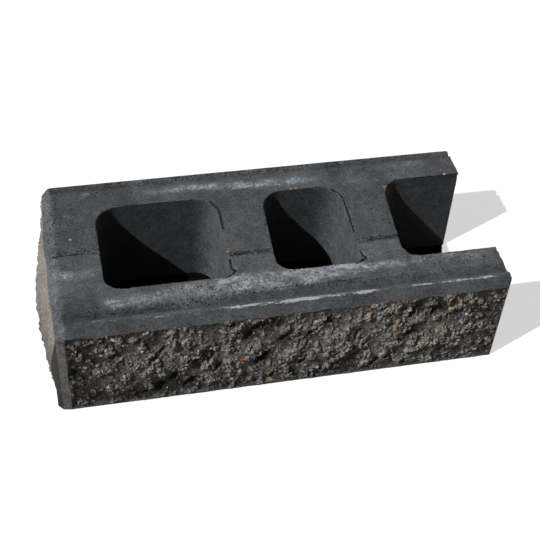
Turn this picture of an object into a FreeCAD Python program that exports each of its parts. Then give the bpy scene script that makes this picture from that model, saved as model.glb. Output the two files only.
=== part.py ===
"""Hollow retaining wall block of cast concrete: two closed cells, one open end cell, two split faces."""
import FreeCAD, Part
import math
import os
import Sketcher

# Driving dimensions in millimetres. X runs along the block, Y from the front to the back, Z up.
# Places along Y in front are measured from the lip's outer edge, and behind from the back face.
SIZES = {
    "length": 650.0,
    "depth": 304.0,
    "height": 150.0,
    # rock faces: how far they stand out past the moulded edge, and where the split runs
    "front_relief": 17.0,
    "front_split": 10.0,
    "front_crown": 5.6,
    "front_swell": 2.4,
    "left_relief": 22.0,
    "left_foot_front": 4.4,
    "left_foot_back": 2.0,
    "left_crown": 19.2,
    "left_swell": 1.8,
    # front lip and groove
    "lip_shoulder": 1.2,
    "lip_rise": 3.2,
    "lip_crest": 3.5,
    "lip_inner": 9.0,
    "groove_place": 18.5,
    "groove_sink": 2.8,
    "groove_edge": 33.0,
    # back lip and groove
    "back_lip_drop": 2.5,
    "back_crest_drop": 0.6,
    "back_crest": 4.0,
    "back_groove_place": 11.5,
    "back_groove_sink": 4.0,
    "back_groove_edge": 17.5,
    # moulded margins round the rock faces
    "bevel_out": 11.0,
    "bevel_fall": 9.0,
    "left_bevel_run": 12.0,
    "left_bevel_fall": 8.0,
    "right_margin": 7.0,
    "corner_front_run": 16.0,
    "corner_front_out": 3.0,
    "corner_recess": 8.0,
    "corner_left_run": 18.0,
    "corner_left_out": 10.0,
    "back_corner": 13.0,
    "end_break": 4.0,
    # cells between the two shells: the webs' thickness, and each closed cell's share of the rest
    "front_shell": 65.0,
    "back_shell": 58.0,
    "left_web": 72.0,
    "web_two": 64.0,
    "web_three": 61.0,
    "cell_one_share": 0.4015,
    "cell_two_share": 0.2825,
    "core_draft": 0.8,
    "web_two_lean": 4.0,
    "web_two_flare": 4.0,
    "web_three_lean": 5.0,
    "web_three_flare": 7.0,
    "round_front_left": 24.0,
    "round_back_left": 36.0,
    "round_back_right": 34.0,
    "round_front_right": 14.0,
    # marks of the core bars on the webs
    "bar_width": 7.0,
    "bar_sink": 0.8,
    "bar_place_left": 140.0,
    "bar_place_right": 107.0,
}

# Room that every cutting shape has past the block's own faces
CLEAR = 5.0

# Spacing of the points that carry the rock faces, and the length and share of their swells
ROCK_STEP = 10.0
SWELL_LENGTHS = (37.0, 21.0, 12.0)
SWELL_SHARES = (0.45, 0.32, 0.23)

# How much fuller the left rock face is towards the front
BOW_LEAN = 0.55

# Ledges of the front rock face, behind which pieces broke out: place along the block, height, half
# length and depth. All run up to the right. The face steps back over the fall, then returns over the run.
LEDGE_FALL = 8.5
LEDGE_RUN = 19.0
LEDGES = (
    (44, 72, 8, 3.0),
    (72, 24, 13, 3.0),
    (122, 13, 20, 5.0),
    (146, 118, 20, 3.0),
    (150, 83, 9, 3.5),
    (157, 27, 20, 7.0),
    (178, 52, 16, 4.0),
    (199, 28, 18, 5.0),
    (207, 68, 11, 4.0),
    (222, 88, 17, 5.0),
    (239, 60, 14, 3.0),
    (282, 118, 24, 6.0),
    (298, 64, 24, 6.0),
    (310, 133, 12, 7.0),
    (333, 96, 11, 4.5),
    (345, 42, 22, 3.0),
    (363, 94, 12, 4.5),
    (387, 116, 14, 5.5),
    (428, 92, 20, 3.5),
    (430, 40, 18, 3.5),
    (452, 68, 14, 3.0),
    (490, 38, 14, 2.5),
    (508, 76, 20, 5.0),
    (515, 125, 14, 5.0),
    (544, 118, 12, 5.0),
    (567, 36, 14, 3.0),
    (575, 112, 14, 2.5),
    (601, 104, 9, 3.0),
)

doc = FreeCAD.newDocument("retaining_wall_block")


def make_sheet():
    """Puts the driving dimensions in a sheet, one alias for each."""
    sheet = doc.addObject("Spreadsheet::Sheet", "Sizes")
    for row, (name, value) in enumerate(SIZES.items(), start=1):
        sheet.set("A%d" % row, name)
        sheet.set("B%d" % row, str(value))
        sheet.setAlias("B%d" % row, name)
    doc.recompute()
    return sheet


sheet = make_sheet()
body = doc.addObject("PartDesign::Body", "Casting")


def value_of(expression):
    """Value of an expression in the sheet's aliases, to start a sketch near its solution."""
    return float(sheet.evalExpression(expression.replace("Sizes.", "")))


def origin_plane(role):
    """The body's own plane with the given role."""
    return next(item for item in body.Origin.OriginFeatures if item.Role == role)


def new_sketch(name, role, lift="0"):
    """An empty sketch on one of the body's planes, lifted along its normal."""
    sketch = body.newObject("Sketcher::SketchObject", name)
    sketch.AttachmentSupport = [(origin_plane(role), "")]
    sketch.MapMode = "FlatFace"
    sketch.setExpression("AttachmentOffset.Base.z", lift)
    return sketch


def pin(sketch, geometry, end, across, up):
    """Ties one end of a sketch line to two expressions, measured from the sketch's origin."""
    for kind, expression in (("DistanceX", across), ("DistanceY", up)):
        pin_one(sketch, kind, geometry, end, expression)


def pin_one(sketch, kind, geometry, end, expression):
    """Ties one coordinate of a sketch point to an expression."""
    constraint = Sketcher.Constraint(kind, -1, 1, geometry, end, value_of(expression))
    index = sketch.addConstraint(constraint)
    sketch.setExpression("Constraints[%d]" % index, expression)


def draw_outline(sketch, corners):
    """Draws a closed outline of straight lines through corners given as pairs of expressions."""
    points = [FreeCAD.Vector(value_of(across), value_of(up), 0) for across, up in corners]
    first = sketch.GeometryCount
    count = len(points)
    for index in range(count):
        line = Part.LineSegment(points[index], points[(index + 1) % count])
        sketch.addGeometry(line, False)
    for index in range(count):
        following = first + (index + 1) % count
        sketch.addConstraint(Sketcher.Constraint("Coincident", first + index, 2, following, 1))
        pin(sketch, first + index, 1, *corners[index])


def cut_away(sketch, name, reach, reverse=False, draft=None):
    """Pockets a sketch into the casting and makes sure that it took material away."""
    doc.recompute()
    before = body.Shape.Volume
    pocket = body.newObject("PartDesign::Pocket", name)
    pocket.Profile = sketch
    pocket.Reversed = reverse
    pocket.setExpression("Length", reach)
    if draft:
        pocket.setExpression("TaperAngle", draft)
    doc.recompute()
    if not body.Shape.Volume < before - 1.0:
        raise RuntimeError(name + " cut nothing")
    return pocket


def draw_rounded(sketch, corners, radii):
    """Draws an outline that runs anticlockwise, with an arc at every corner that has a radius."""
    first = sketch.GeometryCount
    draw_outline(sketch, corners)
    count = len(corners)
    points = [FreeCAD.Vector(value_of(across), value_of(up), 0) for across, up in corners]
    arcs = {}
    ends = []
    for index, radius in enumerate(radii):
        sketch.toggleConstruction(first + index)
        corner = points[index]
        if radius is None:
            ends.append((corner, corner))
            continue
        back = (points[index - 1] - corner).normalize()
        ahead = (points[(index + 1) % count] - corner).normalize()
        half = back.getAngle(ahead) / 2
        size = value_of(radius)
        middle = corner + (back + ahead).normalize() * (size / math.sin(half))
        start = corner + back * (size / math.tan(half))
        finish = corner + ahead * (size / math.tan(half))
        turn = [math.atan2(point.y - middle.y, point.x - middle.x) for point in (start, finish)]
        circle = Part.Circle(middle, FreeCAD.Vector(0, 0, 1), size)
        arcs[index] = sketch.addGeometry(Part.ArcOfCircle(circle, turn[0], turn[1]), False)
        ends.append((start, finish))
    lines = []
    for index in range(count):
        line = Part.LineSegment(ends[index][1], ends[(index + 1) % count][0])
        lines.append(sketch.addGeometry(line, False))
    for index, radius in enumerate(radii):
        before, after = lines[index - 1], lines[index]
        if radius is None:
            sketch.addConstraint(Sketcher.Constraint("Coincident", before, 2, first + index, 1))
            sketch.addConstraint(Sketcher.Constraint("Coincident", after, 1, first + index, 1))
            continue
        arc = arcs[index]
        side_before = first + (index - 1) % count
        sketch.addConstraint(Sketcher.Constraint("Tangent", arc, side_before))
        sketch.addConstraint(Sketcher.Constraint("Tangent", arc, first + index))
        sketch.addConstraint(Sketcher.Constraint("Tangent", before, 2, arc, 1))
        sketch.addConstraint(Sketcher.Constraint("Tangent", arc, 2, after, 1))
        fixed = sketch.addConstraint(Sketcher.Constraint("Radius", arc, value_of(radius)))
        sketch.setExpression("Constraints[%d]" % fixed, radius)


# Casting: one cross-section, run the whole length
LIP = "Sizes.front_relief"
TOP = "Sizes.height"
CELL_FRONT = LIP + " + Sizes.front_shell"
CELL_BACK = "Sizes.depth - Sizes.back_shell"
section = new_sketch("CrossSection", "YZ_Plane")
draw_outline(section, [
    ("0", "0"),
    ("0", TOP + " + Sizes.lip_shoulder - Sizes.front_relief * Sizes.bevel_fall / Sizes.bevel_out"),
    (LIP, TOP + " + Sizes.lip_shoulder"),
    (LIP + " + Sizes.lip_crest", TOP + " + Sizes.lip_rise"),
    (LIP + " + Sizes.lip_inner", TOP + " + Sizes.lip_rise"),
    (LIP + " + Sizes.groove_place", TOP + " - Sizes.groove_sink"),
    (LIP + " + Sizes.groove_edge", TOP),
    ("Sizes.depth - Sizes.back_groove_edge", TOP),
    ("Sizes.depth - Sizes.back_groove_place", TOP + " - Sizes.back_groove_sink"),
    ("Sizes.depth - Sizes.back_crest", TOP + " - Sizes.back_crest_drop"),
    ("Sizes.depth", TOP + " - Sizes.back_lip_drop"),
    ("Sizes.depth", "0"),
])
doc.recompute()
run = body.newObject("PartDesign::Pad", "Run")
run.Profile = section
run.setExpression("Length", "Sizes.length")
doc.recompute()

# Bevel along the top of the left end
EDGE = "Sizes.left_relief"
BEFORE = "-%g" % CLEAR
ABOVE = TOP + " + Sizes.lip_rise + %g" % CLEAR
PAST_END = "Sizes.length + %g" % CLEAR
PAST_BACK = "Sizes.depth + %g" % CLEAR
left_bevel = new_sketch("LeftBevelOutline", "XZ_Plane")
draw_outline(left_bevel, [
    (BEFORE, TOP + " - (Sizes.left_relief + %g) * Sizes.left_bevel_fall / Sizes.left_bevel_run" % CLEAR),
    (EDGE + " + Sizes.left_bevel_run", TOP),
    (EDGE + " + Sizes.left_bevel_run + Sizes.lip_rise + %g" % CLEAR, ABOVE),
    (BEFORE, ABOVE),
])
cut_away(left_bevel, "LeftBevel", PAST_BACK)

# Upright margins at the four corners of the two rock faces
margins = new_sketch("MarginOutlines", "XY_Plane")
RECESS = LIP + " - Sizes.corner_recess"
FRONT_SLOPE = "Sizes.corner_front_run / Sizes.corner_front_out"
LEFT_REACH = "(Sizes.left_relief + %g)" % CLEAR
FRONT_REACH = "(Sizes.front_relief + %g)" % CLEAR
draw_outline(margins, [
    (EDGE, RECESS),
    (BEFORE, RECESS + " + " + LEFT_REACH + " * Sizes.corner_left_run / Sizes.corner_left_out"),
    (BEFORE, BEFORE),
    (EDGE + " + (" + FRONT_REACH + " - Sizes.corner_recess) * " + FRONT_SLOPE, BEFORE),
])
draw_outline(margins, [
    ("Sizes.length", LIP),
    ("Sizes.length - Sizes.right_margin * " + FRONT_REACH + " / Sizes.front_split", BEFORE),
    (PAST_END, BEFORE),
    (PAST_END, LIP),
])
draw_outline(margins, [
    (EDGE + " + Sizes.back_corner", "Sizes.depth"),
    (BEFORE, "Sizes.depth - Sizes.back_corner - " + LEFT_REACH),
    (BEFORE, PAST_BACK),
    (EDGE + " + Sizes.back_corner", PAST_BACK),
])
draw_outline(margins, [
    ("Sizes.length - Sizes.end_break", "Sizes.depth"),
    ("Sizes.length - Sizes.end_break", PAST_BACK),
    (PAST_END, PAST_BACK),
    (PAST_END, "Sizes.depth - Sizes.end_break - %g" % CLEAR),
])
cut_away(margins, "Margins", ABOVE, reverse=True)

# Cells: two closed ones and one open at the right end, narrowing downwards as the cores do.
# From front to back the webs lean towards the open end and grow thicker.
WEBS = "Sizes.left_relief + Sizes.left_web + Sizes.web_two + Sizes.web_three"
HOLLOW = "(Sizes.length - (" + WEBS + "))"
ONE_LEFT = EDGE + " + Sizes.left_web"
ONE_RIGHT = ONE_LEFT + " + Sizes.cell_one_share * " + HOLLOW
TWO_LEFT = ONE_RIGHT + " + Sizes.web_two"
TWO_RIGHT = TWO_LEFT + " + Sizes.cell_two_share * " + HOLLOW
THREE_LEFT = TWO_RIGHT + " + Sizes.web_three"
CELLS = [
    (ONE_LEFT, ONE_LEFT, ONE_RIGHT, ONE_RIGHT + " + Sizes.web_two_lean"),
    (TWO_LEFT, TWO_LEFT + " + Sizes.web_two_lean + Sizes.web_two_flare",
     TWO_RIGHT, TWO_RIGHT + " + Sizes.web_three_lean"),
    (THREE_LEFT, THREE_LEFT + " + Sizes.web_three_lean + Sizes.web_three_flare", PAST_END, PAST_END),
]
cells = new_sketch("CellOutlines", "XY_Plane", TOP)
for left_front, left_back, right_front, right_back in CELLS:
    closed = right_front != PAST_END
    corners = [
        (left_front, CELL_FRONT),
        (right_front, CELL_FRONT),
        (right_back, CELL_BACK),
        (left_back, CELL_BACK),
    ]
    draw_rounded(cells, corners, [
        "Sizes.round_front_left",
        "Sizes.round_front_right" if closed else None,
        "Sizes.round_back_right" if closed else None,
        "Sizes.round_back_left",
    ])
cut_away(cells, "Cells", "Sizes.height + %g" % CLEAR, draft="-Sizes.core_draft")

# Marks that the core bars leave across the webs
bars = new_sketch("BarOutlines", "XY_Plane", TOP)
for left, right, place in (
    (EDGE + " + Sizes.left_bevel_run", ONE_LEFT + " + %g" % CLEAR, "Sizes.bar_place_left"),
    (ONE_RIGHT + " - %g" % CLEAR, TWO_LEFT + " + %g" % CLEAR, "Sizes.bar_place_right"),
    (TWO_RIGHT + " - %g" % CLEAR, THREE_LEFT + " + %g" % CLEAR, "Sizes.bar_place_right"),
):
    front = LIP + " + " + place + " - Sizes.bar_width / 2"
    back = LIP + " + " + place + " + Sizes.bar_width / 2"
    draw_outline(bars, [(left, front), (right, front), (right, back), (left, back)])
cut_away(bars, "BarMarks", "Sizes.bar_sink")


def swell(along, up):
    """Broad waves of a split face, from -1 to 1, at a place along the face and a height."""
    total = 0.0
    for order, (span, share) in enumerate(zip(SWELL_LENGTHS, SWELL_SHARES)):
        total += share * math.sin(along / span + order) * math.cos(up / span + 2 * order)
    return total


def arch(share):
    """A half wave over a share from 0 to 1."""
    return math.sin(math.pi * share)


def plateau(share):
    """A curve over a share from 0 to 1 that is level in the middle and falls to nothing at both ends."""
    return 1 - (2 * share - 1) ** 4


def bow(share):
    """A parabola over a share from 0 to 1, fuller in its first half."""
    return 4 * share * (1 - share) * (1 + BOW_LEAN * (0.5 - share))


def ledges(along, up):
    """How far the front rock face steps back behind its ledges at a place along the face and a height."""
    depth = 0.0
    for place, level, reach, fall in LEDGES:
        past = (along - place - up + level) / math.sqrt(2)
        beside = (along - place + up - level) / math.sqrt(2)
        width = LEDGE_RUN if past > 0 else LEDGE_FALL
        depth += fall * math.exp(-((past / width) ** 2) - (beside / reach) ** 2)
    return depth


def front_rock(along, up):
    """Y of the front rock face at a place along the block and a height."""
    margin = sheet.left_relief + sheet.corner_front_run
    share = plateau((along - margin) / (sheet.length - margin))
    crown = sheet.front_crown * arch(up / sheet.height)
    rim = sheet.height - sheet.bevel_fall * sheet.front_split / sheet.bevel_out
    rough = plateau(up / rim) * (ledges(along, up) - share * sheet.front_swell * swell(along, up))
    return FreeCAD.Vector(along, sheet.front_relief - sheet.front_split - share * crown + rough, up)


def left_rock(along, up):
    """X of the left rock face at a place across the block and a height."""
    share = along / sheet.depth
    foot = sheet.left_foot_front + (sheet.left_foot_back - sheet.left_foot_front) * share
    lean = foot * (1 - up / sheet.height)
    crown = sheet.left_crown * arch(up / sheet.height) * bow(share)
    place = sheet.left_relief - lean - crown - sheet.left_swell * plateau(share) * swell(along, up)
    return FreeCAD.Vector(place, along, up)


def spread(low, high):
    """Evenly spaced places from low to high, about one rock step apart."""
    count = max(4, round((high - low) / ROCK_STEP))
    return [low + (high - low) * index / count for index in range(count + 1)]


def rock_cutter(name, surface_point, low, high, outward):
    """A solid that starts at a rock face and reaches outwards past the casting."""
    heights = spread(-CLEAR, sheet.height + sheet.lip_rise + CLEAR)
    grid = [[surface_point(along, up) for up in heights] for along in spread(low, high)]
    surface = Part.BSplineSurface()
    surface.interpolate(grid)
    cutter = doc.addObject("Part::Feature", name)
    cutter.Shape = surface.toShape().extrude(outward)
    return cutter


forwards = FreeCAD.Vector(0, -sheet.depth, 0)
leftwards = FreeCAD.Vector(-sheet.length, 0, 0)
front_cutter = rock_cutter("FrontRock", front_rock, -CLEAR, sheet.length + CLEAR, forwards)
left_cutter = rock_cutter("LeftRock", left_rock, -CLEAR, sheet.depth + CLEAR, leftwards)

# The block: the casting less what splits off in front and on the left
front_split = doc.addObject("Part::Cut", "FrontSplit")
front_split.Base = body
front_split.Tool = front_cutter
block = doc.addObject("Part::Cut", "Block")
block.Base = front_split
block.Tool = left_cutter
block.Label = "block"
block.setExpression("Placement.Base.x", "-Sizes.length / 2")
block.setExpression("Placement.Base.y", "-Sizes.depth / 2")
doc.recompute()

for whole, rest in ((body, front_split), (front_split, block)):
    if not rest.Shape.Volume < whole.Shape.Volume - 1.0:
        raise RuntimeError(rest.Name + " cut nothing")
for item in doc.Objects:
    if "Invalid" in item.State or "Error" in item.State:
        raise RuntimeError(item.Name + " failed: " + str(item.State))

os.makedirs("parts", exist_ok=True)
for node in (block,):
    shape = node.Shape
    if shape.isNull() or not shape.isValid() or len(shape.Solids) != 1:
        raise RuntimeError(node.Label + " is not one valid solid")
    box = shape.optimalBoundingBox(True, False)
    low = "%.1f %.1f %.1f" % (box.XMin, box.YMin, box.ZMin)
    high = "%.1f %.1f %.1f" % (box.XMax, box.YMax, box.ZMax)
    print(node.Label, "box", low, "to", high)
    print(node.Label, "volume %.0f mm3" % shape.Volume, "faces", len(shape.Faces))
    shape.exportStep("parts/" + node.Label + ".step")
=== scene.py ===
"""Looks of the retaining wall block: split faces, worn mouldings, concrete, floor and light."""
import math

import bmesh
import bpy
import numpy as np
from mathutils import Matrix, Vector, kdtree, noise
from mathutils.bvhtree import BVHTree
from mathutils.geometry import delaunay_2d_cdt


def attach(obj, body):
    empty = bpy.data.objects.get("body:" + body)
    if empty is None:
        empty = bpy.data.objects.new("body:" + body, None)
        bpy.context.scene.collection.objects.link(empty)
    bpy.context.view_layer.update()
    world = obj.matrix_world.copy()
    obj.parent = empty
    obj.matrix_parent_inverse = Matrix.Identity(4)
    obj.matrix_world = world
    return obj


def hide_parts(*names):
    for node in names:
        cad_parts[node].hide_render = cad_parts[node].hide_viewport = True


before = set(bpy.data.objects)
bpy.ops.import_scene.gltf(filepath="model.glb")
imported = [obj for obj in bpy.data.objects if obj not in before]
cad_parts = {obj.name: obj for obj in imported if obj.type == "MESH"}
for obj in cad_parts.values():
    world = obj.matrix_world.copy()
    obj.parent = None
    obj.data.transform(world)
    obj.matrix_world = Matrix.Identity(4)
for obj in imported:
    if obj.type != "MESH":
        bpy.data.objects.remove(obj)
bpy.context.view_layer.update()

MM = 0.001

# Unless it is set, the seed that moves the noise vectors is the time
SEED = 5
noise.seed_set(SEED)

# Places in the model's frame, in millimetres
LEFT_END = -325.0
LEFT_ARRIS = -303.0
RIGHT_END = 325.0
FRONT = -152.0
FRONT_ARRIS = -135.0
BACK = 152.0
TOP = 150.0
CELL_FRONT = -70.0
CELL_BACK = 94.0
CELLS = [(-229.0, -60.0), (12.0, 132.0), (208.0, 400.0)]
CELL_ROUND = 28.0
MARK_SINK = 0.8
ON_PLANE = 0.06

MOULDED, FRONT_SPLIT, LEFT_SPLIT, CELL, HIDDEN = range(5)


# Mesh: the block's facets, made even and fine where relief goes

def read_block():
    """Corner points in millimetres and triangles of the block, its flat faces merged, cut at three depths
    below the top and split into triangles.
    """
    source = bpy.data.objects["block"]
    work = bmesh.new()
    work.from_mesh(source.data)
    bmesh.ops.transform(work, matrix=source.matrix_world, verts=work.verts)
    bmesh.ops.remove_doubles(work, verts=work.verts, dist=1e-6)
    bmesh.ops.dissolve_limit(work, angle_limit=math.radians(0.15), verts=work.verts, edges=work.edges)
    # Rings round the cells keep the chips of their rims off the walls below
    for depth in (3.5, 6.0, 13.0):
        parts = work.verts[:] + work.edges[:] + work.faces[:]
        bmesh.ops.bisect_plane(work, geom=parts, plane_co=(0, 0, (TOP - depth) * MM), plane_no=(0, 0, 1))
    bmesh.ops.triangulate(work, faces=work.faces, quad_method="BEAUTY", ngon_method="BEAUTY")
    work.verts.index_update()
    points = np.array([vertex.co[:] for vertex in work.verts]) / MM
    triangles = np.array([[vertex.index for vertex in face.verts] for face in work.faces])
    work.free()
    return points, triangles


def normals_of(points, triangles):
    """Unit normals of triangles."""
    a, b, c = (points[triangles[:, corner]] for corner in range(3))
    cross = np.cross(b - a, c - a)
    return cross / np.maximum(np.linalg.norm(cross, axis=1), 1e-12)[:, None]


def off_plane(points, triangles, through, normal):
    """Largest distance of each triangle's corners from a plane."""
    normal = np.array(normal) / np.linalg.norm(normal)
    distance = np.abs((points - np.array(through)) @ normal)
    return distance[triangles].max(axis=1)


def sort_faces(points, triangles):
    """Kind of surface that each triangle belongs to."""
    normal = normals_of(points, triangles)
    middle = points[triangles].mean(axis=1)
    kinds = np.full(len(triangles), MOULDED)
    bevel = off_plane(points, triangles, (0, FRONT_ARRIS, TOP + 1.2), (0, -9, 11)) < ON_PLANE
    light_margin = off_plane(points, triangles, (LEFT_ARRIS, -143, 0), (-3, -16, 0)) < ON_PLANE
    dark_margin = off_plane(points, triangles, (LEFT_ARRIS, -143, 0), (-18, -10, 0)) < ON_PLANE
    right_margin = off_plane(points, triangles, (RIGHT_END, FRONT_ARRIS, 0), (10, -7, 0)) < ON_PLANE
    end_bevel = off_plane(points, triangles, (LEFT_ARRIS + 12, 0, TOP), (-8, 0, 12)) < ON_PLANE
    back_margin = off_plane(points, triangles, (LEFT_ARRIS + 13, BACK, 0), (-1, 1, 0)) < ON_PLANE
    plain = bevel | light_margin | dark_margin | right_margin | end_bevel | back_margin
    front = (normal[:, 1] < -0.6) & (middle[:, 1] < FRONT_ARRIS) & ~plain
    left = (normal[:, 0] < -0.6) & (middle[:, 0] < LEFT_ARRIS) & ~plain
    kinds[front] = FRONT_SPLIT
    kinds[left] = LEFT_SPLIT
    inside = (middle[:, 0] > LEFT_ARRIS + 60) & (middle[:, 0] < RIGHT_END - 0.1)
    inside &= np.abs(normal[:, 2]) < 0.2
    inside &= (middle[:, 1] > CELL_FRONT - 1) & (middle[:, 1] < CELL_BACK + 1)
    kinds[inside] = CELL
    hidden = (middle[:, 2] < 0.05) | (middle[:, 1] > BACK - 0.05)
    kinds[hidden] = HIDDEN
    return kinds


def rim_gap(points):
    """Distance of each point from the nearest rim of a cell, seen from above."""
    best = np.full(len(points), np.inf)
    for left, right in CELLS:
        u = np.abs(points[:, 0] - (left + right) / 2) - (right - left) / 2 + CELL_ROUND
        v = np.abs(points[:, 1] - (CELL_FRONT + CELL_BACK) / 2) - (CELL_BACK - CELL_FRONT) / 2 + CELL_ROUND
        outside = np.hypot(np.maximum(u, 0), np.maximum(v, 0))
        gap = outside + np.minimum(np.maximum(u, v), 0) - CELL_ROUND
        best = np.minimum(best, np.abs(gap))
    return best


# Mesh zones that get an even fill of points: the top, the sunk marks in it and the split faces
OTHER, TOP_ZONE, MARK_ZONE, FRONT_ZONE, LEFT_ZONE = range(5)
ZONE_KINDS = {TOP_ZONE: MOULDED, MARK_ZONE: MOULDED, FRONT_ZONE: FRONT_SPLIT, LEFT_ZONE: LEFT_SPLIT}
FLAT_AXES = {TOP_ZONE: (0, 1, 2), MARK_ZONE: (0, 1, 2), FRONT_ZONE: (0, 2, 1), LEFT_ZONE: (1, 2, 0)}
SPACING = {TOP_ZONE: 1.4, MARK_ZONE: 1.4, FRONT_ZONE: 1.25, LEFT_ZONE: 1.8}


def steps_at(points, zone):
    """How many lattice spacings apart the points of a zone lie: fewer along lips, marks and the fins' shadow
    lines.
    """
    steps = np.ones(len(points), dtype=int)
    if zone == TOP_ZONE:
        x, y = points[:, 0], points[:, 1]
        steps[:] = 3
        steps[(y < FRONT_ARRIS + 16) | (y > BACK - 18)] = 2
        steps[(np.abs(y - 5) < 7) & (x < -228)] = 1
        steps[(np.abs(y + 28) < 7) & (x > -80) & (x < 210)] = 1
        steps[(fin_shadow_gap(points) < 4) | (rim_gap(points) < 3)] = 1
    return steps


def find_edges(points, triangles, zones):
    """Edges of the mesh, those of each triangle, and which of them bound a zone or lie on a crease in it."""
    sides = np.stack([triangles[:, [0, 1]], triangles[:, [1, 2]], triangles[:, [2, 0]]], axis=1)
    pairs, place = np.unique(np.sort(sides.reshape(-1, 2), axis=1), axis=0, return_inverse=True)
    place = place.ravel()
    by_edge = np.argsort(place, kind="stable")
    first = by_edge[np.searchsorted(place[by_edge], np.arange(len(pairs)))] // 3
    last = by_edge[np.searchsorted(place[by_edge], np.arange(len(pairs)), side="right") - 1] // 3
    normal = normals_of(points, triangles)
    bent = (normal[first] * normal[last]).sum(axis=1) < math.cos(math.radians(0.7))
    hard = (zones[first] != zones[last]) | (bent & (zones[first] == TOP_ZONE))
    return pairs, place.reshape(-1, 3), hard


def split_borders(points, triangles, kinds, zones):
    """Halves the edges that bound the zones until none is longer than the points there lie apart."""
    while True:
        pairs, place, hard = find_edges(points, triangles, zones)
        length = np.linalg.norm(points[pairs[:, 0]] - points[pairs[:, 1]], axis=1)
        middles = points[pairs].mean(axis=1)
        limit = np.full(len(pairs), 2.6)
        top = middles[:, 2] > TOP - 1
        limit[top] = 1.3 * SPACING[TOP_ZONE] * steps_at(middles[top], TOP_ZONE)
        split = hard & (length > limit)
        if not split.any():
            return points, triangles, kinds, zones
        fresh = np.full(len(pairs), -1)
        fresh[split] = len(points) + np.arange(split.sum())
        points = np.vstack([points, middles[split]])
        triangles, source = split_triangles(triangles, fresh[place])
        kinds, zones = kinds[source], zones[source]


def split_triangles(triangles, middles):
    """Cuts triangles at the given middles of their sides, none if negative; also gives their sources."""
    cut = middles >= 0
    count = cut.sum(axis=1)
    # Turned so that the first side is cut, or for two cuts the third side is whole
    turn = np.where(count == 2, (np.argmin(cut, axis=1) + 1) % 3, np.argmax(cut, axis=1))
    order = (turn[:, None] + np.arange(3)) % 3
    rows = np.arange(len(triangles))[:, None]
    a, b, c = triangles[rows, order].T
    ab, bc, ca = middles[rows, order].T
    parts = [
        (count == 0, (a, b, c)),
        (count == 1, (a, ab, c)), (count == 1, (ab, b, c)),
        (count == 2, (a, ab, c)), (count == 2, (ab, b, bc)), (count == 2, (ab, bc, c)),
        (count == 3, (a, ab, ca)), (count == 3, (ab, b, bc)),
        (count == 3, (ab, bc, ca)), (count == 3, (bc, c, ca)),
    ]
    new = np.vstack([np.stack(corners, axis=1)[mask] for mask, corners in parts])
    return new, np.concatenate([np.flatnonzero(mask) for mask, _ in parts])


def drop_onto(tree, flat, axes):
    """Where flat points fall on a zone's faces, looking along its third axis, and which of them do."""
    found = np.zeros((len(flat), 3))
    hit = np.zeros(len(flat), dtype=bool)
    side = 1.0 if axes[2] == 2 else -1.0
    ray = Vector((0, 0, 0))
    ray[axes[2]] = -side
    start = Vector((0, 0, 0))
    start[axes[2]] = side * 1000.0
    for index, (u, v) in enumerate(flat.tolist()):
        start[axes[0]], start[axes[1]] = u, v
        spot = tree.ray_cast(start, ray)[0]
        if spot is not None:
            found[index] = spot
            hit[index] = True
    return found, hit


def faces_within(points, faces, edges, tree, axes):
    """Those faces of a flat net that lie on the zone: whole patches between hard edges are in or out."""
    sides = np.sort(faces[:, [0, 1, 1, 2, 2, 0]].reshape(-1, 2), axis=1) @ (len(points), 1)
    _, place, uses = np.unique(sides, return_inverse=True, return_counts=True)
    hard = np.isin(sides, np.sort(edges, axis=1) @ (len(points), 1))
    order = np.argsort(place.ravel(), kind="stable")
    shared = order[(uses[place.ravel()[order]] == 2) & ~hard[order]].reshape(-1, 2) // 3
    beside = [[] for _ in faces]
    for one, other in shared.tolist():
        beside[one].append(other)
        beside[other].append(one)
    flat = points[:, axes[:2]]
    first, second = flat[faces[:, 1]] - flat[faces[:, 0]], flat[faces[:, 2]] - flat[faces[:, 0]]
    area = np.abs(first[:, 0] * second[:, 1] - first[:, 1] * second[:, 0])
    seen = np.zeros(len(faces), dtype=bool)
    within = np.zeros(len(faces), dtype=bool)
    for start in range(len(faces)):
        if seen[start]:
            continue
        patch, seen[start] = [start], True
        for face in patch:
            for other in beside[face]:
                if not seen[other]:
                    seen[other] = True
                    patch.append(other)
        largest = max(patch, key=lambda face: area[face])
        _, hit = drop_onto(tree, points[faces[largest]].mean(axis=0)[None, axes[:2]], axes)
        within[patch] = hit[0] and area[largest] > 0.1
    return faces[within]


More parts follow.
